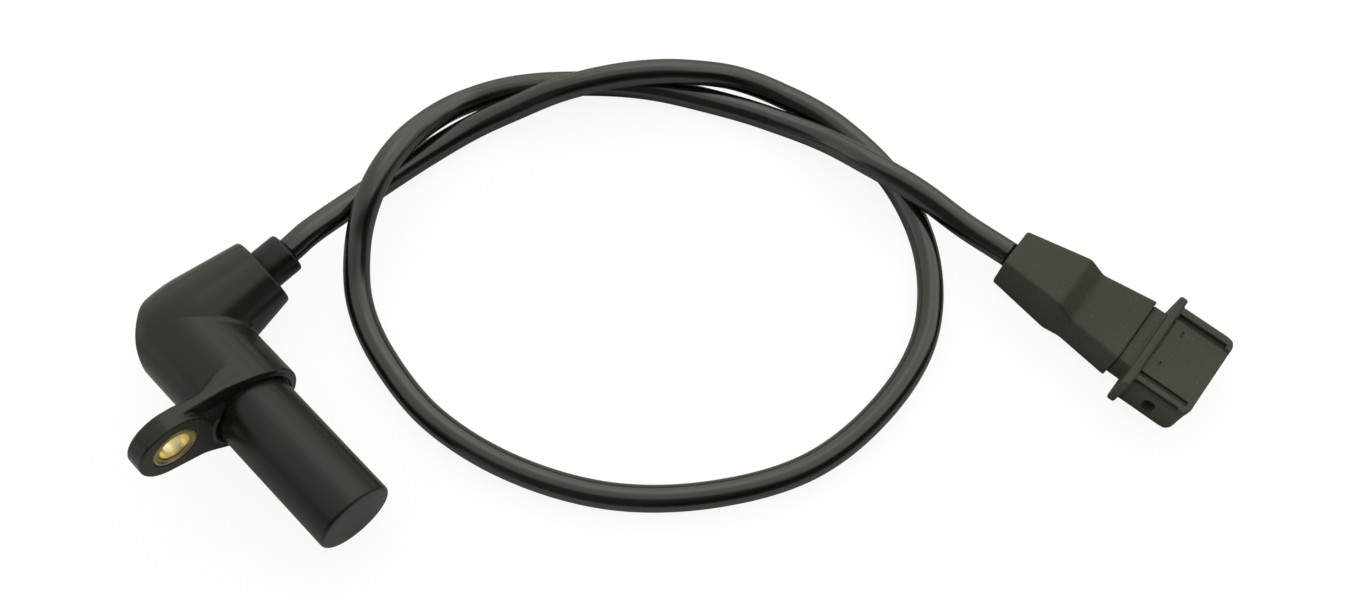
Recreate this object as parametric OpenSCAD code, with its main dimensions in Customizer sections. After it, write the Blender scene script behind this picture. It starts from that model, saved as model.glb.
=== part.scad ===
// Crankshaft position sensor with an elbow housing, one loop of cable and a flat three-way plug.
// The barrel's axis is the Y axis and its tip points to -Y. The outlet arm points to +X, and +Z is up.
// The origin is on the barrel's axis, in the plane of the flange face.

/* [Barrel] */
// Diameter of the sensing barrel
barrel_d = 18; // [17.5:0.1:18.5]
// Length of the barrel in front of the flange face
barrel_l = 35; // [34.5:0.5:45]
// Wall thickness at the barrel's tip
tip_wall = 0.8; // [0.6:0.1:1.2]
// Edge round at the barrel's tip
tip_round = 0.8; // [0.3:0.1:1.2]
// Diameter of the spigot that goes into the housing
spigot_d = 17.2; // [17:0.1:17.4]
// Depth of the spigot in the housing
spigot_l = 6; // [5.8:0.1:7]

/* [Housing] */
// Diameter of the housing at the flange face
flange_d = 23.2; // [23:0.1:23.2]
// Diameter of the housing at the elbow
body_d = 22.4; // [22:0.1:22.6]
// Distance of the arm's axis behind the flange face
arm_y = 24.5; // [24:0.5:25]
// Diameter of the arm at the elbow
arm_d = 23.2; // [22.8:0.1:23.2]
// Diameter of the arm at its outlet end
arm_end_d = 16.9; // [15:0.1:18]
// Length of the arm from the barrel's axis
arm_l = 22.5; // [21:0.5:22.5]
// Length of the arm's straight root
arm_root = 3.7; // [2:0.1:6]
// Chamfer round the arm's outlet end
arm_chamfer = 0.7; // [0.4:0.1:1.5]
// Distance from the elbow's centre to the slanted outer corner
corner_cut = 7.8; // [7.6:0.1:9]
// Distance from the elbow's centre to the two blends beside that corner
corner_blend = 9.8; // [9.4:0.1:10.4]
// Diameter of the wire channel inside
channel_d = 9; // [8.6:0.1:9.4]

/* [Ear] */
// Distance from the barrel's axis to the mounting hole
ear_reach = 19.7; // [19:0.1:24]
// Angle of the ear above the -X direction
ear_angle = 31.5; // [25:0.5:35]
// Radius of the ear's round end
ear_r = 8.3; // [7.8:0.1:9.5]
// Thickness of the ear
ear_t = 4.6; // [4:0.1:6]
// Fillet where the ear's lower side meets the flange
ear_fillet = 4; // [2:0.5:6]
// Outside diameter of the brass bush
bush_d = 10.4; // [9.6:0.1:11]
// Bore of the brass bush
bush_bore = 7; // [6.4:0.1:8]
// How far the bush stands out behind the ear, under the screw's head
bush_proud = 0.3; // [0.1:0.1:0.6]

/* [Coil] */
// Diameter of the pole pin
pole_d = 5; // [4:0.1:5.5]
// Diameter of the pole pin's head
pole_head_d = 9; // [7:0.1:10]
// Diameter of the magnet
magnet_d = 11; // [9:0.1:11.2]
// Length of the magnet
magnet_l = 8; // [6:0.5:8.5]
// Outside diameter of the coil winding
winding_d = 14.2; // [12:0.1:14.6]
// Diameter of the bobbin's hub
hub_d = 6.8; // [6.4:0.1:7.2]
// Thickness of the bobbin's front flange
bobbin_front = 1; // [0.8:0.1:1.4]
// Thickness of the bobbin's rear flange
bobbin_rear = 1.5; // [1.2:0.1:2]
// Length of the terminal carrier
carrier_l = 10; // [8:0.5:10]

/* [Wires] */
// Diameter of each conductor
wire_d = 1.6; // [1.2:0.1:1.7]
// Distance of each conductor from the cable's axis
wire_r = 1.25; // [1.15:0.05:1.4]
// Radius of the conductors' bend in the elbow
wire_bend = 6; // [5:0.5:8]
// Width of a terminal strip
strip_w = 1.4; // [1:0.1:1.4]
// Thickness of a terminal strip
strip_t = 0.5; // [0.4:0.1:0.6]

/* [Cable] */
// Diameter of the cable
cable_d = 6.2; // [5.4:0.1:6.2]
// Diameter of the grommet outside the arm
grommet_d = 10; // [9.4:0.1:11]
// Length of the grommet's plug inside the arm
grommet_plug = 6; // [4:0.5:7]
// Bore of the grommet
grommet_bore = 5.2; // [4.6:0.1:5.2]
// Chamfer round the grommet's outer end
grommet_chamfer = 1; // [0.4:0.1:1.4]

/* [Plug] */
// Turn of the plug about the vertical
plug_turn = 6; // [6:6]
// Length of the soft boot
boot_l = 33.3; // [33:0.1:33.6]
// Chamfer along the boot's edges
boot_chamfer = 0.8; // [0.4:0.1:1]
// How much wider the boot is at the bottom, on each side
boot_draft = 0.7; // [0.3:0.1:1]
// Half width of the plug's mouth
mouth_w = 12; // [11.6:0.1:12.4]
// Height of the plug's mouth
mouth_h = 11.2; // [10.6:0.1:12]
// Wall thickness of the plug's mouth
mouth_wall = 1.7; // [1.4:0.1:1.9]
// Distance of the mouth's edge from the boot's rear end
mouth_u = 52.6; // [52.4:0.1:55]
// Plan radius of the mouth's corners
mouth_r = 3; // [2:0.1:3.2]
// Half width of the plug's flange over its lugs
lug_w = 13.5; // [13:0.1:14]
// Pitch of the contact blades
blade_pitch = 5; // [4.6:0.1:5]
// Width of a contact blade
blade_w = 2.8; // [2.4:0.1:3]
// Thickness of a contact blade
blade_t = 0.8; // [0.6:0.1:0.9]
// Distance of the blades' tips from the boot's rear end
blade_tip = 46.6; // [44:0.1:46.6]

/* [Fits] */
// Clearance round each piece that is pushed into another
fit = 0.05; // [0.02:0.01:0.1]

/* [Hidden] */
$fn = 96;

floor_z = -flange_d / 2;
cup_bore_d = spigot_d - 2;
insert_d = cup_bore_d - 2 * fit;
groove_d = barrel_d + 1.6;
// Stations along the barrel, from its tip to the housing
tip_y = -barrel_l;
bobbin_y = tip_y + tip_wall + fit;
pole_head_y = -14;
winding_end_y = pole_head_y - bobbin_rear;
magnet_y = pole_head_y + 1.5;
carrier_y = magnet_y + magnet_l;
strip_r = magnet_d / 2 + 0.7;
strip_end_y = 8;
grommet_x = arm_l;
// Ear centre and its flanks, in the ear's own plane with x along the ear
ear_x = -ear_reach * cos(ear_angle);
ear_z = ear_reach * sin(ear_angle);
flank_sin = (flange_d / 2 - ear_r) / ear_reach;
flank_cos = sqrt(1 - flank_sin * flank_sin);
fillet_x = sqrt(pow(flange_d / 2 + ear_fillet, 2) - pow(ear_r + ear_fillet, 2));
// Places of the three conductors round the cable's axis, by angle in the XZ plane
wire_angles = [90, 210, 330];
// Plug stations along its axis, from the boot's rear end
neck_u = 36.8;
flange_u = 38.8;
tail_u = 24.1;
core_end_u = 24;
core_r = 0.65;
blade_z = mouth_h / 2;
cable_h = 6;
// Boot sections: distance along the axis, half width at the top, bottom, top
boot_sections = [[0, 5.3, 0.8, 11.2], [15.8, 7.5, 0, 13.2], [20, 7.6, 1.2, 10.1], [boot_l, 9.1, 0.8, 10.8]];
// Route of the cable from the grommet to the plug
cable_route = [
    [29.5, 24.5, 0], [36, 25, -0.5], [46, 25.5, -3], [57, 26, -6], [70, 25.5, -8], [84, 23, -8],
    [95, 18.5, -6], [104.5, 13, -2.5], [114.5, 7, -1.5], [123.5, 0.5, -1.5], [131, -6, -2.5],
    [140, -14.5, -6], [146, -26, -8.5], [149, -42, -8.5], [147, -62, -8.5], [137.5, -80.5, -8.5],
    [121.5, -93.5, -8.5], [101.5, -98, -8.5], [79.5, -95.5, -8.5], [59.5, -84.5, -8.5],
    [43, -68.5, -8.5], [32, -48.5, -8.5], [27, -27.5, -8.5], [28.5, -8.5, -8.5], [33.5, 6, -7.5],
    [42.5, 16, -3], [53, 22, 1.5], [64.5, 26.5, 1], [76, 29.5, -3.5], [87, 30, -8], [99, 24.5, -8.5],
    [111.5, 14, -8.5], [123, 1, -8.5], [132, -14, -8.5], [139, -28.5, -8.5], [143, -42, -6.5],
    [143.5, -55, -2], [146, -68.5, -2], [148.5, -82.5, -5], [150.5, -95, -5.6]];
cable_out = [1, 0, 0];
cable_in = [sin(plug_turn), -cos(plug_turn), 0];
cable_end = cable_route[len(cable_route) - 1];
grommet_end_x = cable_route[0].x;
cable_sides = 10;
cable_steps = 2;

// Smooth curve through the route: tangents, points and ring frames
function span(i) = norm(cable_route[i + 1] - cable_route[i]);
function tangent(i) =
    i == 0 ? cable_out :
    i == len(cable_route) - 1 ? cable_in :
    (cable_route[i + 1] - cable_route[i - 1]) / (span(i) + span(i - 1));
function blend(i, t) =
    (2 * t * t * t - 3 * t * t + 1) * cable_route[i] + (t * t * t - 2 * t * t + t) * span(i) * tangent(i)
    + (3 * t * t - 2 * t * t * t) * cable_route[i + 1] + (t * t * t - t * t) * span(i) * tangent(i + 1);
function laid(p) = [p.x, p.y, max(p.z, floor_z + cable_d / 2)];
function unit(v) = v / norm(v);
cable_centres = [
    for (i = [0 : len(cable_route) - 2]) for (k = [0 : cable_steps - 1]) laid(blend(i, k / cable_steps)),
    cable_end];
function heading(i) =
    i == 0 ? cable_out :
    i == len(cable_centres) - 1 ? cable_in :
    unit(cable_centres[i + 1] - cable_centres[i - 1]);
function ring(i) =
    let (t = heading(i), s = unit(cross(t, [0, 0, 1])), u = cross(s, t))
    [for (k = [0 : cable_sides - 1]) let (a = 360 * k / cable_sides - 90)
        cable_centres[i] + cable_d / 2 * (cos(a) * s + sin(a) * u)];

// Places a shape so that its +Z runs along +Y, along +X in the arm, or along the plug's axis
module along_y(y) { translate([0, y, 0]) rotate([-90, 0, 0]) children(); }
module along_x(x) { translate([x, arm_y, 0]) rotate([0, 90, 0]) children(); }
module in_plug() {
    translate([cable_end.x, cable_end.y, floor_z]) rotate([0, 0, plug_turn - 90]) children();
}
module block(u0, u1, w, z0, z1) { translate([u0, -w, z0]) cube([u1 - u0, 2 * w, z1 - z0]); }

// Flat ear behind the flange face, before its hole is cut
module ear() {
    translate([ear_x, 0, ear_z]) along_y(0) cylinder(h = ear_t, r = ear_r);
    translate([0, ear_t, 0]) rotate([90, 0, 0]) linear_extrude(ear_t) rotate(180 - ear_angle) {
        polygon([
            [0, 0], [0, ear_r], [ear_reach, ear_r], [ear_reach + ear_r * flank_sin, -ear_r * flank_cos],
            [flange_d / 2 * flank_sin, -flange_d / 2 * flank_cos]]);
        difference() {
            polygon([
                [0, 0], [fillet_x, 0], [fillet_x, ear_r],
                [fillet_x, ear_r + ear_fillet] * flange_d / (flange_d + 2 * ear_fillet)]);
            translate([fillet_x, ear_r + ear_fillet]) circle(ear_fillet);
        }
    }
}

// Block whose outer side faces the elbow's corner at an angle from +Y towards -X
module corner_side(angle, distance) {
    translate([0, arm_y, 0]) rotate([0, 0, angle]) translate([-30, distance - 40, -30]) cube([60, 40, 60]);
}

module elbow() {
    along_y(0) cylinder(h = arm_y, d1 = flange_d, d2 = body_d);
    along_x(0) rotate_extrude() polygon([
        [0, 0], [arm_d / 2, 0], [arm_d / 2, arm_root],
        [arm_end_d / 2, arm_l - arm_chamfer], [arm_end_d / 2 - arm_chamfer, arm_l], [0, arm_l]]);
    intersection() {
        along_y(arm_y - 4) cylinder(h = 4 + arm_d / 2, d = body_d);
        along_x(-body_d / 2) cylinder(h = body_d / 2, d = arm_d);
        corner_side(45, corner_cut);
        corner_side(22, corner_blend);
        corner_side(68, corner_blend);
    }
}

module sensor_housing() {
    color([0.16, 0.16, 0.15]) difference() {
        union() {
            elbow();
            ear();
        }
        along_y(-1) cylinder(h = 1 + spigot_l + fit, d = spigot_d + 2 * fit);
        along_y(0) cylinder(h = 0.8, d1 = groove_d, d2 = spigot_d + 2 * fit);
        along_y(spigot_l - 1) cylinder(h = arm_y - spigot_l + 1, d = channel_d);
        translate([0, arm_y, 0]) sphere(d = channel_d);
        along_x(0) cylinder(h = arm_l + 1, d = channel_d);
        translate([ear_x, 0, ear_z]) along_y(-1) cylinder(h = ear_t + 2, d = bush_d + 2 * fit);
    }
}

module sensing_barrel() {
    color([0.17, 0.17, 0.16]) difference() {
        union() {
            along_y(tip_y) rotate_extrude() polygon([
                [0, 0],
                for (k = [0 : 6]) let (a = 15 * k)
                    [barrel_d / 2 - tip_round * (1 - sin(a)), tip_round * (1 - cos(a))],
                [barrel_d / 2, barrel_l], [0, barrel_l]]);
            along_y(-0.5) cylinder(h = spigot_l + 0.5, d = spigot_d);
        }
        along_y(tip_y + tip_wall) cylinder(h = barrel_l + spigot_l, d = cup_bore_d);
    }
}

module mounting_bush() {
    color([0.80, 0.62, 0.25]) translate([ear_x, 0, ear_z]) difference() {
        along_y(0) cylinder(h = ear_t + bush_proud, d = bush_d);
        along_y(-1) cylinder(h = ear_t + 2, d = bush_bore);
    }
}

module pole_pin() {
    color([0.45, 0.45, 0.47]) {
        along_y(bobbin_y) cylinder(h = pole_head_y - bobbin_y + 0.5, d = pole_d);
        along_y(pole_head_y + fit) cylinder(h = magnet_y - pole_head_y - 2 * fit, d = pole_head_d);
    }
}

module magnet() {
    color([0.35, 0.35, 0.37]) along_y(magnet_y) cylinder(h = magnet_l - fit, d = magnet_d);
}

module coil_bobbin() {
    color([0.75, 0.72, 0.62]) difference() {
        union() {
            along_y(bobbin_y) cylinder(h = bobbin_front, d = insert_d);
            along_y(bobbin_y) cylinder(h = pole_head_y - bobbin_y, d = hub_d);
            along_y(winding_end_y) cylinder(h = bobbin_rear, d = insert_d);
        }
        along_y(tip_y) cylinder(h = barrel_l, d = pole_d + 2 * fit);
    }
}

module coil_winding() {
    color([0.62, 0.30, 0.16]) difference() {
        along_y(bobbin_y + bobbin_front + fit)
            cylinder(h = winding_end_y - bobbin_y - bobbin_front - 2 * fit, d = winding_d);
        along_y(tip_y) cylinder(h = barrel_l, d = hub_d + 2 * fit);
    }
}

// Terminal strip: an outer leg beside the magnet, a cross leg and a straight leg to the conductor
module strip(angle, to_coil, grow) {
    rotate([0, -angle, 0]) {
        translate([wire_r - strip_t / 2 - grow, carrier_y + 2 - grow, -strip_w / 2 - grow])
            cube([strip_t + 2 * grow, strip_end_y - carrier_y - 2 + grow, strip_w + 2 * grow]);
        if (to_coil) {
            translate([wire_r - strip_t / 2 - grow, carrier_y + 2 - grow, -strip_w / 2 - grow])
                cube([strip_r + strip_t - wire_r + 2 * grow, strip_t + 2 * grow, strip_w + 2 * grow]);
            translate([strip_r - strip_t / 2 - grow, pole_head_y + fit, -strip_w / 2 - grow])
                cube([strip_t + 2 * grow, carrier_y + 2 - pole_head_y - fit + grow, strip_w + 2 * grow]);
        }
    }
}

module terminal_carrier() {
    color([0.75, 0.72, 0.62]) difference() {
        along_y(carrier_y) cylinder(h = carrier_l, d = insert_d);
        strip(wire_angles[0], true, fit);
        strip(wire_angles[1], true, fit);
        strip(wire_angles[2], false, fit);
    }
}

module terminal_a() { color([0.72, 0.70, 0.62]) strip(wire_angles[0], true, 0); }
module terminal_b() { color([0.72, 0.70, 0.62]) strip(wire_angles[1], true, 0); }
module terminal_shield() { color([0.72, 0.70, 0.62]) strip(wire_angles[2], false, 0); }

// Conductor from a terminal, round the elbow and out to the cable's end
module conductor(angle) {
    ox = wire_r * cos(angle);
    oz = wire_r * sin(angle);
    bend_y = arm_y - wire_bend;
    translate([ox, 0, oz]) along_y(strip_end_y) cylinder(h = bend_y - strip_end_y, d = wire_d, $fn = 32);
    translate([wire_bend, bend_y, oz]) rotate([0, 0, 90]) rotate_extrude(angle = 90)
        translate([wire_bend - ox, 0]) circle(d = wire_d, $fn = 32);
    translate([0, -ox, oz]) along_x(wire_bend) cylinder(h = grommet_end_x - wire_bend, d = wire_d, $fn = 32);
}

module conductor_a() { color([0.55, 0.12, 0.10]) conductor(wire_angles[0]); }
module conductor_b() { color([0.85, 0.84, 0.80]) conductor(wire_angles[1]); }
module conductor_shield() { color([0.70, 0.68, 0.64]) conductor(wire_angles[2]); }

module cable_grommet() {
    color([0.14, 0.14, 0.13]) along_x(0) rotate_extrude() polygon([
        [grommet_bore / 2, grommet_x - grommet_plug], [channel_d / 2 - fit, grommet_x - grommet_plug],
        [channel_d / 2 - fit, grommet_x], [grommet_d / 2, grommet_x],
        [grommet_d / 2, grommet_end_x - grommet_chamfer],
        [grommet_d / 2 - grommet_chamfer, grommet_end_x], [grommet_bore / 2, grommet_end_x]]);
}

module cable() {
    rings = [for (i = [0 : len(cable_centres) - 1]) each ring(i)];
    last = len(cable_centres) - 1;
    n = cable_sides;
    color([0.07, 0.07, 0.07]) polyhedron(points = rings, faces = [
        [for (k = [0 : n - 1]) k],
        [for (k = [n - 1 : -1 : 0]) last * n + k],
        for (i = [0 : last - 1]) for (k = [0 : n - 1])
            [i * n + k, (i + 1) * n + k, (i + 1) * n + (k + 1) % n, i * n + (k + 1) % n]],
        convexity = 10);
}

// Corner points of one section of the boot
function boot_ring(s) = let (c = boot_chamfer) [
    [s[0], -s[1] - boot_draft + c, s[2]], [s[0], s[1] + boot_draft - c, s[2]],
    [s[0], s[1] + boot_draft, s[2] + c], [s[0], s[1], s[3] - c], [s[0], s[1] - c, s[3]],
    [s[0], -s[1] + c, s[3]], [s[0], -s[1], s[3] - c], [s[0], -s[1] - boot_draft, s[2] + c]];

module plug_boot() {
    last = len(boot_sections) - 1;
    color([0.19, 0.19, 0.18]) in_plug() difference() {
        polyhedron(points = [for (s = boot_sections) each boot_ring(s)], faces = [
            [for (k = [0 : 7]) k],
            [for (k = [7 : -1 : 0]) last * 8 + k],
            for (i = [0 : last - 1]) for (k = [0 : 7])
                [i * 8 + k, (i + 1) * 8 + k, (i + 1) * 8 + (k + 1) % 8, i * 8 + (k + 1) % 8]]);
        translate([-1, 0, cable_h]) rotate([0, 90, 0]) cylinder(h = 8, d = grommet_bore);
        translate([0, 0, blade_z - 1.6]) linear_extrude(3.2)
            polygon([[3, -2.4], [3, 2.4], [20, 6.2], [tail_u, 6.2], [tail_u, -6.2], [20, -6.2]]);
        block(tail_u - fit, boot_l + 1, 6.4, 2.6, 8.8);
    }
}

// Plan outline of the mouth with rounded front corners
module mouth_plan() {
    polygon([
        [neck_u, -lug_w],
        for (k = [0 : 8]) let (a = -90 + 90 * k / 8)
            [mouth_u - mouth_r * (1 - cos(a)), -mouth_w + mouth_r * (1 + sin(a))],
        for (k = [0 : 8]) let (a = 90 * k / 8)
            [mouth_u - mouth_r * (1 - cos(a)), mouth_w - mouth_r * (1 - sin(a))],
        [neck_u, lug_w]]);
}

// Bar along the plug's axis with chamfered long edges
module bar(u0, u1, w, z0, z1, c) {
    translate([u0, 0, 0]) rotate([90, 0, 90]) linear_extrude(u1 - u0) polygon([
        [-w + c, z0], [w - c, z0], [w, z0 + c], [w, z1 - c], [w - c, z1], [-w + c, z1],
        [-w, z1 - c], [-w, z0 + c]]);
}

module plug_housing() {
    color([0.20, 0.20, 0.19]) in_plug() difference() {
        union() {
            block(tail_u, boot_l + 0.1, 6.4 - fit, 2.6 + fit, 8.8 - fit);
            bar(boot_l, neck_u, 8.4, 1.1, 9.7, 0.6);
            bar(neck_u, flange_u, lug_w, 0, mouth_h + 0.3, 0.8);
            intersection() {
                bar(flange_u - 0.1, mouth_u, mouth_w, 0, mouth_h, 0.9);
                linear_extrude(mouth_h) mouth_plan();
            }
        }
        block(flange_u + 1.4, mouth_u + 1, mouth_w - mouth_wall, mouth_wall, mouth_h - mouth_wall);
        block(flange_u, mouth_u + 1, 8.2, mouth_h - 0.5, mouth_h + 1);
        for (s = [-1, 1]) {
            translate([flange_u + 0.6, s * 8.6 - 0.6, mouth_h - 1.3]) cube([12, 1.2, mouth_h]);
            translate([45, s * mouth_w, 5.5]) {
                cube([2.8, 8, 2.2], center = true);
                for (z = [-1.1, 1.1]) translate([0, 4, z]) rotate([90, 0, 0]) cylinder(h = 8, d = 2.8, $fn = 48);
            }
        }
        for (i = [-1 : 1]) translate([tail_u - 1, i * blade_pitch - blade_w / 2 - fit, blade_z - blade_t / 2 - fit])
            cube([flange_u - tail_u + 4, blade_w + 2 * fit, blade_t + 2 * fit]);
    }
}

// Flat contact with a pointed tip
module blade(i) {
    color([0.78, 0.76, 0.70]) in_plug() translate([0, i * blade_pitch, blade_z - blade_t / 2])
        linear_extrude(blade_t) polygon([
            [tail_u, -blade_w / 2], [blade_tip - 1, -blade_w / 2], [blade_tip, -blade_w / 2 + 0.7],
            [blade_tip, blade_w / 2 - 0.7], [blade_tip - 1, blade_w / 2], [tail_u, blade_w / 2]]);
}

module contact_blade_1() { blade(-1); }
module contact_blade_2() { blade(0); }
module contact_blade_3() { blade(1); }

// Core from the cable's end to the rear end of a blade, as a string of eight-sided sections
module core(i) {
    stations = [[0, i * 1.6, cable_h], [4, i * 1.6, cable_h], [20.5, i * blade_pitch, blade_z],
                [core_end_u, i * blade_pitch, blade_z]];
    last = len(stations) - 1;
    in_plug() polyhedron(
        points = [for (p = stations) for (k = [0 : 7]) p + core_r * [0, cos(45 * k), sin(45 * k)]],
        faces = [
            [for (k = [0 : 7]) k],
            [for (k = [7 : -1 : 0]) last * 8 + k],
            for (j = [0 : last - 1]) for (k = [0 : 7])
                [j * 8 + k, (j + 1) * 8 + k, (j + 1) * 8 + (k + 1) % 8, j * 8 + (k + 1) % 8]]);
}

module plug_core_1() { color([0.55, 0.12, 0.10]) core(-1); }
module plug_core_2() { color([0.85, 0.84, 0.80]) core(0); }
module plug_core_3() { color([0.70, 0.68, 0.64]) core(1); }

sensor_housing();
sensing_barrel();
mounting_bush();
pole_pin();
magnet();
coil_bobbin();
coil_winding();
terminal_carrier();
terminal_a();
terminal_b();
terminal_shield();
conductor_a();
conductor_b();
conductor_shield();
cable_grommet();
cable();
plug_boot();
plug_housing();
contact_blade_1();
contact_blade_2();
contact_blade_3();
plug_core_1();
plug_core_2();
plug_core_3();
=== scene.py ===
"""Crankshaft position sensor on a pale studio floor.

Lengths in this file are millimetres in the part's frame until a mesh is made, when they become metres.
"""
import math

import bpy
import numpy as np
from mathutils import Matrix, Vector


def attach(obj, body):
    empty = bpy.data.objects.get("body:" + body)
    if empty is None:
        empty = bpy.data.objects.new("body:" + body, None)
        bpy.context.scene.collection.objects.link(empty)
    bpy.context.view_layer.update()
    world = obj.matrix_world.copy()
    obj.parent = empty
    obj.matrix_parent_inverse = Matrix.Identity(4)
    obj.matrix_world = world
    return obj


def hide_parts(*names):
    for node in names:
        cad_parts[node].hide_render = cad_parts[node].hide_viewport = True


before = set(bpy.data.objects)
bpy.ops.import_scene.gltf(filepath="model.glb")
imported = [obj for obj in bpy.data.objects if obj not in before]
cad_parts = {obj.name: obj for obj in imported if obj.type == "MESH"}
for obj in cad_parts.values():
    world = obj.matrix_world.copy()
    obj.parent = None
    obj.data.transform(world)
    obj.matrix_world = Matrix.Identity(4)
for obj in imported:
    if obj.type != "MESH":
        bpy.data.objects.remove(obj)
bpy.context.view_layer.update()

MM = 0.001
FLOOR = -11.6
IMAGE_W, FOCAL_PIXELS = 1355, 1283.7


# Camera

def place_camera():
    """Camera at the place and angle that were fitted to the photograph."""
    ahead = Vector((0.2815, 0.2581, -0.9242)).normalized()
    side = Vector((0.7009, -0.7131, 0.0143))
    side = (side - ahead * side.dot(ahead)).normalized()
    up = side.cross(ahead)
    data = bpy.data.cameras.new("camera")
    data.sensor_fit = "HORIZONTAL"
    data.sensor_width = 36
    data.lens = data.sensor_width * FOCAL_PIXELS / IMAGE_W
    data.clip_start = 0.01
    data.clip_end = 20
    camera = bpy.data.objects.new("camera", data)
    turn = Matrix((side, up, -ahead)).transposed().to_4x4()
    camera.matrix_world = Matrix.Translation(Vector((1.5, -124.32, 272.5)) * MM) @ turn
    bpy.context.collection.objects.link(camera)
    bpy.context.scene.camera = camera


place_camera()


# Shader helper

class Sock:
    """A shader socket that can be added, multiplied and passed to further nodes."""

    def __init__(self, tree, socket):
        self.tree = tree
        self.socket = socket

    def node(self, kind, inputs=None, out=0, **settings):
        """Adds any node, links or sets its inputs, and returns one of its outputs."""
        made = self.tree.nodes.new(kind)
        for name, value in settings.items():
            setattr(made, name, value)
        for key, value in (inputs or {}).items():
            if isinstance(value, Sock):
                self.tree.links.new(value.socket, made.inputs[key])
            else:
                made.inputs[key].default_value = value
        return Sock(self.tree, made.outputs[out])

    def maths(self, operation, *values):
        return self.node("ShaderNodeMath", dict(enumerate(values)), operation=operation)

    def __add__(self, other):
        return self.maths("ADD", self, other)

    def __radd__(self, other):
        return self.maths("ADD", other, self)

    def __sub__(self, other):
        return self.maths("SUBTRACT", self, other)

    def __rsub__(self, other):
        return self.maths("SUBTRACT", other, self)

    def __mul__(self, other):
        return self.maths("MULTIPLY", self, other)

    def __rmul__(self, other):
        return self.maths("MULTIPLY", other, self)

    def ramp(self, low, high, to_low=0.0, to_high=1.0):
        """Smooth step from to_low to to_high as this value goes from low to high."""
        return self.node("ShaderNodeMapRange", {0: self, 1: low, 2: high, 3: to_low, 4: to_high},
                         interpolation_type="SMOOTHSTEP")

    def noise(self, scale, detail=2.0, roughness=0.5):
        """Noise at this place, with scale in cycles per metre."""
        return self.node("ShaderNodeTexNoise", {"Vector": self, "Scale": scale, "Detail": detail,
                                                "Roughness": roughness})

    def mix(self, first, second):
        """Colour between first and second by this factor."""
        return self.node("ShaderNodeMix", {0: self, 6: first, 7: second}, out=2, data_type="RGBA")


def rgb(red, green, blue):
    return (red, green, blue, 1.0)


def new_material(name, viewport, **constants):
    """Material with one surface shader; returns it, the shader and the place in the part's frame."""
    material = bpy.data.materials.new(name)
    material.use_nodes = True
    material.diffuse_color = viewport
    tree = material.node_tree
    shader = tree.nodes["Principled BSDF"]
    for key, value in constants.items():
        shader.inputs[key.replace("_", " ")].default_value = value
    spot = tree.nodes.new("ShaderNodeTexCoord")
    return material, shader, Sock(tree, spot.outputs["Object"])


def feed(shader, name, value):
    value.tree.links.new(value.socket, shader.inputs[name])


def grain(shader, height, strength):
    """Fine bump of the surface by a height value."""
    feed(shader, "Normal", height.node("ShaderNodeBump", {"Height": height, "Strength": strength,
                                                          "Distance": 0.0002}))


def moulded_plastic(name, dark, light, rough, grain_strength, dust=0.0):
    """Dark moulding with a fine skin and faint flow marks, and dust where it has some."""
    material, shader, spot = new_material(name, dark, IOR=1.5)
    flow = spot.noise(45, 3).ramp(0.35, 0.7)
    skin = spot.noise(2600, 2)
    colour = flow.mix(dark, light)
    if dust:
        specks = spot.noise(1500, 3, 0.7).ramp(0.55, 0.75) * spot.noise(120, 2).ramp(0.35, 0.65)
        colour = (specks * dust).mix(colour, rgb(0.20, 0.19, 0.12))
    feed(shader, "Base Color", colour)
    feed(shader, "Roughness", rough + 0.08 * flow + 0.05 * skin)
    grain(shader, skin, grain_strength)
    return material


def cable_sheath():
    """Semi-gloss black sheath with slightly uneven polish."""
    material, shader, spot = new_material("cable_sheath", rgb(0.01, 0.01, 0.009), IOR=1.9)
    wear = spot.noise(55, 3).ramp(0.35, 0.7)
    feed(shader, "Base Color", wear.mix(rgb(0.006, 0.0063, 0.0051), rgb(0.009, 0.0094, 0.0074)))
    feed(shader, "Roughness", 0.15 + 0.06 * wear + 0.05 * spot.noise(900, 2))
    grain(shader, spot.noise(700, 2), 0.05)
    return material


def turned_brass():
    """Brass with fine turned marks, a little tarnish and painted shade on its front rim."""
    material, shader, spot = new_material("bush_brass", rgb(0.8, 0.6, 0.25), Metallic=1.0)
    # The front rim near y = 0 is painted darker and rougher as painted shade; the noise on the rest of the
    # bush is tarnish.
    painted_rim_shade = spot.node("ShaderNodeSeparateXYZ", {0: spot}, out=1).ramp(0.0003, 0.0007, 0.8, 0.0)
    tarnish_and_rim_shade = painted_rim_shade + spot.noise(400, 3).ramp(0.45, 0.8, 0.0, 0.4) * (1.0 - painted_rim_shade)
    feed(shader, "Base Color", tarnish_and_rim_shade.mix(rgb(1.0, 0.84, 0.50), rgb(0.50, 0.38, 0.17)))
    feed(shader, "Roughness", 0.26 + 0.16 * tarnish_and_rim_shade)
    grain(shader, spot.noise(2400, 1), 0.12)
    return material


def plain_material(name, colour, roughness, metallic=0.0):
    """Even finish, for pieces that lie inside or are hardly seen."""
    return new_material(name, colour, Base_Color=colour, Roughness=roughness, Metallic=metallic)[0]


housing_plastic = moulded_plastic("housing_plastic", rgb(0.0195, 0.0212, 0.0172),
                                  rgb(0.0255, 0.0272, 0.0212), 0.14, 0.08)
barrel_plastic = moulded_plastic("barrel_plastic", rgb(0.0140, 0.0152, 0.0122),
                                 rgb(0.0180, 0.0192, 0.0150), 0.21, 0.06)
grommet_rubber = moulded_plastic("grommet_rubber", rgb(0.0095, 0.0105, 0.0090),
                                 rgb(0.0130, 0.0140, 0.0115), 0.22, 0.08)
boot_rubber = moulded_plastic("boot_rubber", rgb(0.062, 0.0633, 0.0525),
                              rgb(0.083, 0.0847, 0.0695), 0.58, 0.35, dust=0.4)
plug_plastic = moulded_plastic("plug_plastic", rgb(0.062, 0.0633, 0.0525),
                               rgb(0.083, 0.0847, 0.0685), 0.52, 0.25, dust=0.8)
sheath = cable_sheath()
brass = turned_brass()
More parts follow.
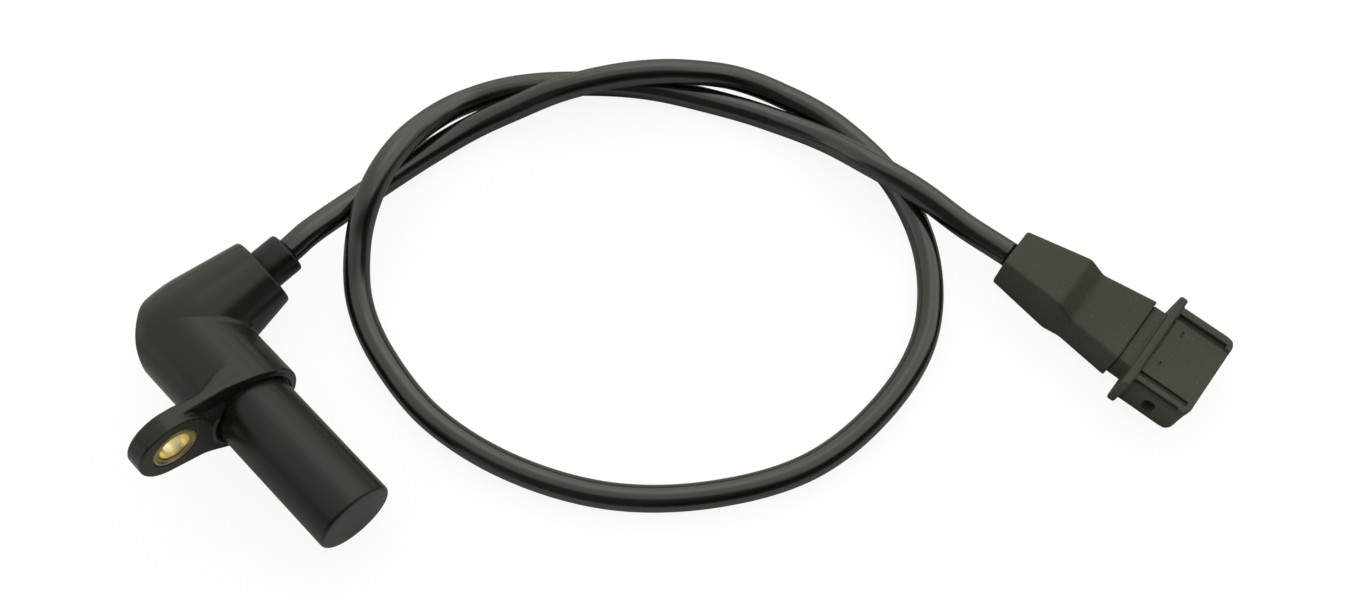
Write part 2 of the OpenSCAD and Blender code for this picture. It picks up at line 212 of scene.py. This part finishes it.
contact_metal = plain_material("contact_metal", rgb(0.70, 0.67, 0.58), 0.3, 1.0)
steel = plain_material("pole_iron", rgb(0.42, 0.42, 0.44), 0.35, 1.0)
ferrite = plain_material("magnet_ferrite", rgb(0.06, 0.06, 0.065), 0.5)
nylon = plain_material("inner_plastic", rgb(0.55, 0.50, 0.38), 0.5)
copper = plain_material("winding_copper", rgb(0.55, 0.22, 0.09), 0.35, 1.0)
red_core = plain_material("core_red", rgb(0.40, 0.03, 0.02), 0.45)
white_core = plain_material("core_white", rgb(0.75, 0.74, 0.70), 0.45)
shield_core = plain_material("core_shield", rgb(0.50, 0.48, 0.44), 0.4, 1.0)


# Mesh makers

def make_piece(name, points, faces, material, slot, replaced, normals=None):
    """Mesh piece from points in mm, kept off the floor, riding on the part and standing for one node."""
    mesh = bpy.data.meshes.new(name)
    points = np.maximum(points, (-math.inf, -math.inf, FLOOR))
    mesh.from_pydata((points * MM).tolist(), [], [list(face) for face in faces])
    mesh.polygons.foreach_set("use_smooth", [True] * len(mesh.polygons))
    mesh.materials.append(material)
    mesh.update()
    if normals is not None:
        mesh.normals_split_custom_set_from_vertices(np.asarray(normals).tolist())
    piece = bpy.data.objects.new(name, mesh)
    bpy.context.collection.objects.link(piece)
    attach(piece, "root")
    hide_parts(replaced)
    return piece


def unit_rows(vectors):
    return vectors / np.maximum(np.linalg.norm(vectors, axis=1, keepdims=True), 1e-12)


def slope(distance, points, reach=0.02):
    """Direction in which the distance grows, at each point."""
    out = np.empty_like(points)
    for axis in range(3):
        shift = np.zeros(3)
        shift[axis] = reach
        out[:, axis] = (distance(points + shift) - distance(points - shift)) / (2 * reach)
    return out


def skin(distance, low, high, step):
    """Closed quad skin where a distance function is zero, with its points and true normals."""
    axes = [np.arange(a - 2.37 * step, b + 3 * step, step) for a, b in zip(low, high)]
    shape = tuple(len(a) for a in axes)
    corner = np.array([a[0] for a in axes])
    value = np.empty(shape)
    plane = np.stack(np.meshgrid(axes[1], axes[2], indexing="ij"), -1).reshape(-1, 2)
    for i, x in enumerate(axes[0]):
        rows = np.column_stack([np.full(len(plane), x), plane])
        value[i] = distance(rows).reshape(shape[1:])
    inside = value < 0
    cells, places, quads = [], [], []
    for axis in range(3):
        b, c = (axis + 1) % 3, (axis + 2) % 3
        first = [slice(None)] * 3
        second = [slice(None)] * 3
        first[axis] = slice(None, -1)
        second[axis] = slice(1, None)
        first, second = tuple(first), tuple(second)
        edge = np.argwhere(inside[first] != inside[second])
        start = value[first][tuple(edge.T)]
        end = value[second][tuple(edge.T)]
        place = edge.astype(float)
        place[:, axis] += start / (start - end)
        around = []
        for step_b, step_c in ((0, 0), (1, 0), (1, 1), (0, 1)):
            cell = edge.copy()
            cell[:, b] -= step_b
            cell[:, c] -= step_c
            around.append(np.ravel_multi_index(tuple(cell.T), shape))
        around = np.stack(around, 1)
        flip = start > 0
        around[flip] = around[flip][:, ::-1]
        quads.append(around)
        cells.append(around.reshape(-1))
        places.append(np.repeat(place, 4, axis=0))
    cells = np.concatenate(cells)
    places = np.concatenate(places)
    names, index = np.unique(cells, return_inverse=True)
    count = np.bincount(index)
    points = np.stack([np.bincount(index, places[:, k]) / count for k in range(3)], 1)
    points = corner + points * step
    faces = np.searchsorted(names, np.concatenate(quads))
    for _ in range(4):
        grow = slope(distance, points)
        move = (distance(points) / np.maximum((grow ** 2).sum(1), 0.05))[:, None] * grow
        points -= np.clip(move, -0.5 * step, 0.5 * step)
    return points, faces, unit_rows(slope(distance, points))


def round_union(a, b, radius):
    """Both bodies together, with a fillet of this radius where they meet."""
    gap = np.hypot(np.maximum(radius - a, 0), np.maximum(radius - b, 0))
    return np.maximum(radius, np.minimum(a, b)) - gap


def round_cut(a, b, radius):
    """What lies in both bodies, with an edge round of this radius."""
    gap = np.hypot(np.maximum(radius + a, 0), np.maximum(radius + b, 0))
    return np.minimum(-radius, np.maximum(a, b)) + gap


def eased(u, stations, values, soft=0.7):
    """Value along a piece, with the kinks between its stations eased."""
    return sum(np.interp(u + shift, stations, values) for shift in np.linspace(-soft, soft, 7)) / 7


def band_faces(bands, around, rings):
    """Quads of a net of rings with the same count of points, each band joining one ring to the next."""
    return [(i * around + k, (i + 1) % rings * around + k,
             (i + 1) % rings * around + (k + 1) % around, i * around + (k + 1) % around)
            for i in range(bands) for k in range(around)]


def lathe(profile, count):
    """Closed solid of revolution about +Z from a closed outline of (radius, height)."""
    turn = np.linspace(0, 2 * math.pi, count, endpoint=False)
    ring = np.array(profile, float)
    points = np.stack([np.outer(np.cos(turn), ring[:, 0]), np.outer(np.sin(turn), ring[:, 0]),
                       np.tile(ring[:, 1], (count, 1))], -1).reshape(-1, 3)
    return points, band_faces(count, len(ring), count)


def arc(centre, radius, start, end, count=6):
    """Points of a round in an outline, with angles in degrees."""
    return [(centre[0] + radius * math.cos(a), centre[1] + radius * math.sin(a))
            for a in np.radians(np.linspace(start, end, count))]


# Cable

CABLE_D = 6.2
CABLE_ROUTE = np.array([
    (29.5, 24.5, 0), (36, 25, -0.5), (46, 25.5, -3), (57, 26, -6), (70, 25.5, -8), (84, 23, -8),
    (95, 18.5, -6), (104.5, 13, -2.5), (114.5, 7, -1.5), (123.5, 0.5, -1.5), (131, -6, -2.5),
    (140, -14.5, -6), (146, -26, -8.5), (149, -42, -8.5), (147, -62, -8.5), (137.5, -80.5, -8.5),
    (121.5, -93.5, -8.5), (101.5, -98, -8.5), (79.5, -95.5, -8.5), (59.5, -84.5, -8.5),
    (43, -68.5, -8.5), (32, -48.5, -8.5), (27, -27.5, -8.5), (28.5, -8.5, -8.5), (33.5, 6, -7.5),
    (42.5, 16, -3), (53, 22, 1.5), (64.5, 26.5, 1), (76, 29.5, -3.5), (87, 30, -8), (99, 24.5, -8.5),
    (111.5, 14, -8.5), (123, 1, -8.5), (132, -14, -8.5), (139, -28.5, -8.5), (143, -42, -6.5),
    (143.5, -55, -2), (146, -68.5, -2), (148.5, -82.5, -5), (150.5, -95, -5.6)], float)
PLUG_TURN = math.radians(6)
PLUG_AXIS = np.array([math.sin(PLUG_TURN), -math.cos(PLUG_TURN), 0])


def cable_line(steps):
    """Smooth line through the route, lying no lower than the floor."""
    spans = np.linalg.norm(np.diff(CABLE_ROUTE, axis=0), axis=1)
    heading = np.empty_like(CABLE_ROUTE)
    heading[0] = (1, 0, 0)
    heading[-1] = PLUG_AXIS
    heading[1:-1] = (CABLE_ROUTE[2:] - CABLE_ROUTE[:-2]) / (spans[1:] + spans[:-1])[:, None]
    line = []
    for i, span in enumerate(spans):
        for t in np.arange(steps) / steps:
            ahead = 3 * t**2 - 2 * t**3
            line.append((1 - ahead) * CABLE_ROUTE[i] + ahead * CABLE_ROUTE[i + 1]
                        + span * ((t**3 - 2 * t**2 + t) * heading[i] + (t**3 - t**2) * heading[i + 1]))
    line = np.array(line + [CABLE_ROUTE[-1]])
    line[:, 2] = np.maximum(line[:, 2], FLOOR + CABLE_D / 2)
    return line


def cable_tube(line, sides=32):
    """Round tube along the line with flat ends."""
    along = unit_rows(np.gradient(line, axis=0))
    along[0] = (1, 0, 0)
    along[-1] = PLUG_AXIS
    across = unit_rows(np.cross(along, (0, 0, 1)))
    over = np.cross(across, along)
    turn = np.linspace(0, 2 * math.pi, sides, endpoint=False)
    out = across[:, None] * np.cos(turn)[None, :, None] + over[:, None] * np.sin(turn)[None, :, None]
    points = (line[:, None] + out * CABLE_D / 2).reshape(-1, 3)
    last = len(line) - 1
    ends = [tuple(range(sides)), tuple(last * sides + k for k in reversed(range(sides)))]
    return points, band_faces(last, sides, len(line)) + ends


line = cable_line(12)
cable = make_piece("cable_run", *cable_tube(line), sheath, "cable_sheath", "cable")


# Sensor housing

ARM_Y = 24.5
EAR_ANGLE = math.radians(31.5)
EAR_REACH, EAR_R, EAR_T = 19.7, 8.4, 4.6
EAR_DIRECTION = (-math.cos(EAR_ANGLE), math.sin(EAR_ANGLE))
BUSH_X, BUSH_Z = EAR_REACH * EAR_DIRECTION[0], EAR_REACH * EAR_DIRECTION[1]
FLANGE_R, ARM_R, ARM_END_R, ARM_L, ARM_ROOT = 11.6, 11.75, 8.55, 22.5, 3.7
ARM_TAPER = (ARM_R - ARM_END_R) / (ARM_L - ARM_ROOT)
FLANK_LEAN = (FLANGE_R - EAR_R) / EAR_REACH
FLANK_LEVEL = math.sqrt(1 - FLANK_LEAN * FLANK_LEAN)
FAR_OFF = 50.0


def ear_outline(along, below):
    """Distance to the ear's outline in its own plane, by the place along it and below its axis."""
    end = np.hypot(along - EAR_REACH, below) - EAR_R
    past = along - EAR_REACH
    upper = along * FLANK_LEAN - below * FLANK_LEVEL - FLANGE_R
    to_end = np.where(below < 0, past * FLANK_LEVEL + below * FLANK_LEAN, past)
    flanks = np.maximum.reduce([upper, below - EAR_R, to_end, 2 - along])
    return np.minimum(end, flanks)


def gusset_distance(along, below, y):
    """Web behind the ear: the ear's upper flank runs back from it and dies out in the body."""
    reach = 10 * np.clip(1 - (y - EAR_T + 1) / 4, 0, 1) ** 1.5
    side = np.abs(below)
    place = FLANK_LEVEL * along - FLANK_LEAN * side
    nose = np.hypot(side, along - reach) + FLANK_LEAN * reach
    flank = FLANK_LEVEL * side + FLANK_LEAN * along
    outline = np.where(place > FLANK_LEVEL * reach, nose, flank)
    outline = np.where(place < 0, np.hypot(side, along), outline)
    return round_cut(round_cut(outline - FLANGE_R + 0.1, y - EAR_T - 2.6, 1.0), below + 5, 2.5)


def corner_planes(x, dy, z):
    """Distance past the three flats that take off the elbow's outer corner, the middle one with draft."""
    flats = [-x * math.cos(math.radians(a)) + dy * math.sin(math.radians(a)) + draft * np.abs(z) - reach
             for a, reach, draft in ((22, 10.5, 0.0), (45, 8.3, 0.06), (68, 10.6, 0.0))]
    return round_cut(round_cut(flats[0], flats[1], 1.6), flats[2], 0.5)


def housing_distance(p):
    """Elbow, arm, flange and ear as one moulding with its fillets, edge rounds and hollows."""
    x, y, z = p.T
    dy = y - ARM_Y
    off_barrel = np.hypot(x, z)
    off_arm = np.hypot(dy, z)
    body = off_barrel - FLANGE_R
    arm = off_arm - eased(x, (0, ARM_ROOT, ARM_L + 8), (FLANGE_R, ARM_R, ARM_END_R - 8 * ARM_TAPER), 3)
    crossing = np.clip(1 - (np.abs(z) / 11.2) ** 3, 0.01, 1)
    power = 2.5 + 3.5 * np.clip((9 - z) / 6, 0, 1)
    squared = (np.abs(x) ** power + np.abs(dy) ** power) ** (1 / power)
    elbow = np.hypot(squared, z) - FLANGE_R
    tubes = round_union(np.maximum(body, dy), np.maximum(arm, -x), crossing)
    solid = np.minimum(tubes, np.where((x < 0.8) & (dy > -0.8), elbow, FAR_OFF))
    solid = round_cut(round_cut(solid, corner_planes(x, dy, z), 0.4), x - ARM_L, 0.8)
    along = x * EAR_DIRECTION[0] + z * EAR_DIRECTION[1]
    below = -x * EAR_DIRECTION[1] + z * EAR_DIRECTION[0]
    solid = np.minimum(solid, gusset_distance(along, below, y))
    ear = round_cut(ear_outline(along, below), y - EAR_T, 0.45 + 1.2 * np.clip((19 - along) / 4, 0, 1))
    solid = round_union(solid, ear, 0.01 + 2.99 * np.clip((below - 3) / 5, 0, 1))
    solid = round_cut(solid, -y, 0.35)
    bead = np.hypot(off_barrel - 9.95, y) - 0.4
    solid = round_union(solid, bead, 0.15)
    boss = np.hypot(along - EAR_REACH, below) - EAR_R
    deep = 2.3 * np.clip((along + 6) / 14, 0, 1) * np.clip((-3 - below) / 2.5, 0, 1) - 0.6
    sunk = round_cut(round_cut(0.1 - boss, 8 - off_barrel, 0.5), y - deep, 0.6)
    solid = round_cut(solid, -sunk, 0.4)
    hole = np.hypot(x - BUSH_X, z - BUSH_Z) - 5.25
    solid = round_cut(solid, -hole, 0.25)
    socket = np.maximum(off_barrel - 8.65, y - 6.05)
    groove = np.maximum(off_barrel - 9.15, y - 0.5)
    channel = np.minimum(np.maximum(off_barrel - 4.5, np.abs(y - 14) - 11), np.hypot(off_barrel, dy) - 4.5)
    channel = np.minimum(channel, np.maximum(off_arm - 4.5, -x))
    return np.maximum(solid, -np.minimum.reduce([socket, groove, channel]))


housing_points, housing_faces, housing_normals = skin(
    housing_distance, (-25.2, -0.4, -11.6), (22.5, 36.1, 18.7), 0.33)
make_piece("housing", housing_points, housing_faces, housing_plastic, "housing_plastic", "sensor_housing",
           housing_normals)


# Turned pieces on the barrel's and arm's axes

def turned(profile, axis, count=160):
    """Solid of revolution about the barrel's axis, the arm's axis or the bush's axis."""
    points, faces = lathe(profile, count)
    r, s, h = points.T
    if axis == "arm":
        return np.column_stack([h, ARM_Y + r, s]), faces
    points = np.column_stack([s, h, r])
    if axis == "bush":
        points += (BUSH_X, 0, BUSH_Z)
    return points, faces


def sharp_shading(piece, angle):
    """Smooth shading that keeps edges which turn by more than the angle."""
    piece.data.set_sharp_from_angle(angle=math.radians(angle))


BARREL_OUTLINE = (
    [(0.001, -35.0), (1.2, -35.0), (5, -35.0)] + arc((8.2, -34.2), 0.8, -90, 0, 8)
    + [(9.0, y) for y in (-33.9, -30, -20, -10, -1, 0)]
    + [(8.6, 0.0), (8.6, 6.0), (7.6, 6.0), (7.6, -34.2), (0.001, -34.2)])
barrel = make_piece("barrel", *turned(BARREL_OUTLINE, "barrel"), barrel_plastic, "barrel_plastic",
                    "sensing_barrel")
sharp_shading(barrel, 40)

GROMMET_OUTLINE = (
    [(2.6, 16.5), (4.45, 16.5), (4.45, 22.45), (4.7, 22.5)] + arc((4.7, 22.8), 0.3, -90, 0, 4)
    + [(5.0, 24.5), (5.0, 27)] + arc((4.1, 28.6), 0.9, 0, 90, 7) + [(3.2, 29.5), (2.6, 29.3)])
grommet = make_piece("grommet", *turned(GROMMET_OUTLINE, "arm", 96), grommet_rubber, "grommet_rubber",
                     "cable_grommet")
sharp_shading(grommet, 40)

BUSH_OUTLINE = (
    [(3.5, 0.55), (3.5, 4.6), (3.75, 4.9), (5.0, 4.9), (5.2, 4.7), (5.2, 0.2)]
    + arc((5.0, 0.2), 0.2, 0, -90, 4) + [(4.55, 0.0), (4.4, 0.22), (4.05, 0.3), (3.75, 0.32)])
bush = make_piece("bush", *turned(BUSH_OUTLINE, "bush", 96), brass, "bush_brass", "mounting_bush")
sharp_shading(bush, 35)


# Plug, in its own frame: u along its axis from the cable's end, w across, h above the floor

PLUG_ORIGIN = np.array([CABLE_ROUTE[-1][0], CABLE_ROUTE[-1][1], FLOOR])
PLUG_ACROSS = np.array([math.cos(PLUG_TURN), math.sin(PLUG_TURN), 0])


def from_plug(points):
    """Turns points or directions of the plug's frame into the part's frame."""
    return points[:, :1] * PLUG_AXIS + points[:, 1:2] * PLUG_ACROSS + points[:, 2:] * np.array([0, 0, 1.0])


def round_block(past, radius):
    """Distance to a block, by how far a point lies past each of its flats before rounding."""
    return np.linalg.norm(np.maximum(past, 0), axis=1) + np.minimum(past.max(1), 0) - radius


def box_distance(p, low, high, radius=0.0):
    """Distance to a box with rounded edges."""
    centre = (np.array(low) + high) / 2
    half = (np.array(high) - low) / 2 - radius
    return round_block(np.abs(p - centre) - half, radius)


BOOT_L, BOOT_EDGE = 33.3, 0.9
BOOT_U = (0, 15.8, 20, BOOT_L)


def boot_distance(p):
    """Soft boot: tapered block with a step on top, rounded edges and a wider base."""
    u, w, h = p.T
    low = eased(u, BOOT_U, (0.8, 0, 1.2, 0.8))
    high = eased(u, BOOT_U, (11.2, 13.2, 10.1, 10.8))
    half = eased(u, BOOT_U, (5.3, 7.5, 7.6, 9.1)) + 0.7 * np.clip((high - h) / (high - low), 0, 1)
    past = np.column_stack([np.abs(w) - half, np.abs(h - (low + high) / 2) - (high - low) / 2])
    block = round_block(past + BOOT_EDGE, BOOT_EDGE)
    block = round_cut(round_cut(block, -u, 0.6), u - BOOT_L, 0.35)
    tail = box_distance(p, (24.05, -6.4, 2.6), (40, 6.4, 8.8))
    wires = np.maximum(np.abs(w) - np.interp(u, (3, 20), (2.4, 6.2)), np.abs(h - 5.6) - 1.6)
    wires = np.maximum.reduce([wires, 3 - u, u - 24.1])
    bore = np.maximum(np.hypot(w, h - 6) - 2.6, u - 7)
    return np.maximum(block, -np.minimum.reduce([tail, wires, bore]))


MOUTH_U, MOUTH_W, MOUTH_H, MOUTH_R = 52.6, 12.0, 11.2, 3.0
NECK_U, LUG_U, LUG_W = 36.8, 38.8, 13.5
SHROUD_U, PAST_MOUTH, ABOVE, WALL = 30, 70, 20, 1.7


def plug_distance(p):
    """Plug housing: tail, neck, lugged flange and open mouth with its slots and side holes."""
    u, w, h = p.T
    shroud = box_distance(p, (SHROUD_U, -MOUTH_W, 0), (PAST_MOUTH, MOUTH_W, MOUTH_H), 0.9)
    past = np.abs(np.column_stack([u - SHROUD_U, w])) - (MOUTH_U - SHROUD_U, MOUTH_W)
    plan = round_block(past + MOUTH_R, MOUTH_R)
    shoulders = 0.707 * (np.abs(w) - MOUTH_W + 1 + h - MOUTH_H)
    shroud = np.maximum(round_cut(round_cut(shroud, shoulders, 0.25), plan, 0.4), LUG_U - 0.5 - u)
    neck = box_distance(p, (BOOT_L, -8.4, 1.1), (NECK_U + 1, 8.4, 9.7), 0.5)
    lugs = box_distance(p, (NECK_U, -LUG_W, 0), (LUG_U, LUG_W, MOUTH_H + 0.3), 0.6)
    tail = box_distance(p, (24.1, -6.35, 2.65), (34.5, 6.35, 8.75), 0.2)
    solid = np.minimum(round_union(round_union(shroud, lugs, 0.35), neck, 0.3), tail)
    cavity = box_distance(p, (LUG_U + 1.4, WALL - MOUTH_W, WALL),
                          (PAST_MOUTH, MOUTH_W - WALL, MOUTH_H - WALL), 0.5)
    panel = box_distance(p, (LUG_U, -8.2, MOUTH_H - 0.5), (PAST_MOUTH, 8.2, ABOVE), 0.2)
    solid = round_cut(round_cut(solid, -cavity, 0.2), -panel, 0.2)
    for side in (-1, 1):
        slot = box_distance(p, (LUG_U + 0.1, side * 8.7 - 0.75, MOUTH_H - 1.4),
                            (LUG_U + 12.4, side * 8.7 + 0.75, ABOVE), 0.2)
        hole = np.hypot(u - 45, np.maximum(np.abs(h - 5.5) - 1.1, 0)) - 1.4
        hole = np.maximum(hole, 4 - side * w)
        solid = np.maximum(round_cut(solid, -hole, 0.15), -slot)
    blades = np.maximum(np.minimum(np.abs(np.abs(w) - 5), np.abs(w)) - 1.45, np.abs(h - 5.6) - 0.45)
    foot = box_distance(p, (LUG_U - 0.1, -2.5, MOUTH_H - 0.9), (LUG_U + 0.35, 7.0, ABOVE))
    rebate = box_distance(p, (LUG_U + 0.3, -11.5, MOUTH_H - 1.1), (MOUTH_U - 2.5, -10.7, ABOVE), 0.2)
    marks = np.minimum(box_distance(p, (41.7, 4.6, MOUTH_H - 0.75), (42.1, 6.2, ABOVE), 0.15),
                       box_distance(p, (41.2, -4.8, MOUTH_H - 0.75), (41.6, -3.4, ABOVE), 0.15))
    return np.maximum(solid, -np.minimum.reduce([blades, foot, rebate, marks]))


def plug_piece(name, distance, low, high, step, material, slot, replaced):
    """Skinned piece of the plug, turned and set down at the cable's end."""
    points, faces, normals = skin(distance, low, high, step)
    return make_piece(name, PLUG_ORIGIN + from_plug(points), faces, material, slot, replaced,
                      from_plug(normals))


boot = plug_piece("boot", boot_distance, (0, -9.9, 0), (BOOT_L, 9.9, 13.2), 0.3,
                  boot_rubber, "boot_rubber", "plug_boot")
plug = plug_piece("plug", plug_distance, (24.1, -LUG_W, 0), (MOUTH_U, LUG_W, 11.5), 0.25,
                  plug_plastic, "plug_plastic", "plug_housing")


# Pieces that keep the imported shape

NODE_FINISH = {
    "pole_pin": steel, "magnet": ferrite, "coil_bobbin": nylon, "coil_winding": copper,
    "terminal_carrier": nylon, "terminal_a": contact_metal, "terminal_b": contact_metal,
    "terminal_shield": contact_metal, "conductor_a": red_core, "conductor_b": white_core,
    "conductor_shield": shield_core, "contact_blade_1": contact_metal, "contact_blade_2": contact_metal,
    "contact_blade_3": contact_metal, "plug_core_1": red_core, "plug_core_2": white_core,
    "plug_core_3": shield_core}
for node, material in NODE_FINISH.items():
    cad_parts[node].data.materials.clear()
    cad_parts[node].data.materials.append(material)

(line * MM).tolist()


# Floor and light

def pale_floor():
    """Large pale floor; the camera sees it nearly white with the shadow still on it."""
    mesh = bpy.data.meshes.new("floor")
    reach = 6.0
    corners = [(x * reach, y * reach, FLOOR * MM) for x, y in ((-1, -1), (1, -1), (1, 1), (-1, 1))]
    mesh.from_pydata(corners, [], [(0, 1, 2, 3)])
    floor = bpy.data.objects.new("floor", mesh)
    bpy.context.collection.objects.link(floor)
    material = bpy.data.materials.new("pale_floor")
    material.use_nodes = True
    tree = material.node_tree
    shader = tree.nodes["Principled BSDF"]
    shader.inputs["Base Color"].default_value = rgb(0.76, 0.76, 0.76)
    shader.inputs["Roughness"].default_value = 0.9
    shader.inputs["Specular IOR Level"].default_value = 0.1
    seen = Sock(tree, tree.nodes.new("ShaderNodeLightPath").outputs["Is Camera Ray"])
    white = seen.node("ShaderNodeEmission", {"Color": rgb(1, 1, 1), "Strength": 1.245})
    mixed = seen.node("ShaderNodeMixShader", {0: seen * 0.72, 1: Sock(tree, shader.outputs[0]), 2: white})
    tree.links.new(mixed.socket, tree.nodes["Material Output"].inputs["Surface"])
    mesh.materials.append(material)


def studio_world():
    """Soft tent light: bright overhead, behind and to the right, dim to the left and dark in front."""
    world = bpy.data.worlds.new("studio")
    bpy.context.scene.world = world
    world.use_nodes = True
    tree = world.node_tree
    way = Sock(tree, tree.nodes.new("ShaderNodeTexCoord").outputs["Generated"])
    east, north, height = [way.node("ShaderNodeSeparateXYZ", {0: way}, out=k) for k in range(3)]
    slant = 0.754 * east + 0.656 * north
    tent = slant.ramp(-0.50, -0.17, 0.09, 0.60) + east.ramp(-0.2, 0.9, 0.0, 0.47)
    low_left = north.ramp(-0.3, 0.1) * east.ramp(-0.75, -0.35, 1.0, 0.0) * height.ramp(0.2, 0.5, 0.26, 0.0)
    band = height.ramp(0.0, 0.06) * height.ramp(0.14, 0.32, 1.0, 0.0) * east.ramp(0.5, 0.8)
    front = north.ramp(-0.70, -0.56)
    low_front = (1.0 - front) * height.ramp(0.05, 0.45, 0.08, 0.02)
    light = tent * front * (1.0 - 0.55 * band) + low_left + low_front
    seen = Sock(tree, tree.nodes.new("ShaderNodeLightPath").outputs["Is Camera Ray"])
    strength = seen + (1.0 - seen) * light
    background = tree.nodes["Background"]
    background.inputs["Color"].default_value = rgb(0.97, 1.0, 0.86)
    tree.links.new(strength.socket, background.inputs["Strength"])


def soft_light(name, place, target, size, power):
    """Rectangular soft light, placed and aimed in metres."""
    data = bpy.data.lights.new(name, "AREA")
    data.shape = "RECTANGLE"
    data.size, data.size_y = size
    data.energy = power
    light = bpy.data.objects.new(name, data)
    light.location = place
    light.rotation_euler = (Vector(target) - Vector(place)).to_track_quat("-Z", "Y").to_euler()
    bpy.context.collection.objects.link(light)


pale_floor()
studio_world()
soft_light("overhead", (0.55, 0.3, 0.8), (0.07, -0.04, 0), (0.5, 0.5), 0.26)
bpy.context.scene.view_settings.view_transform = "Standard"
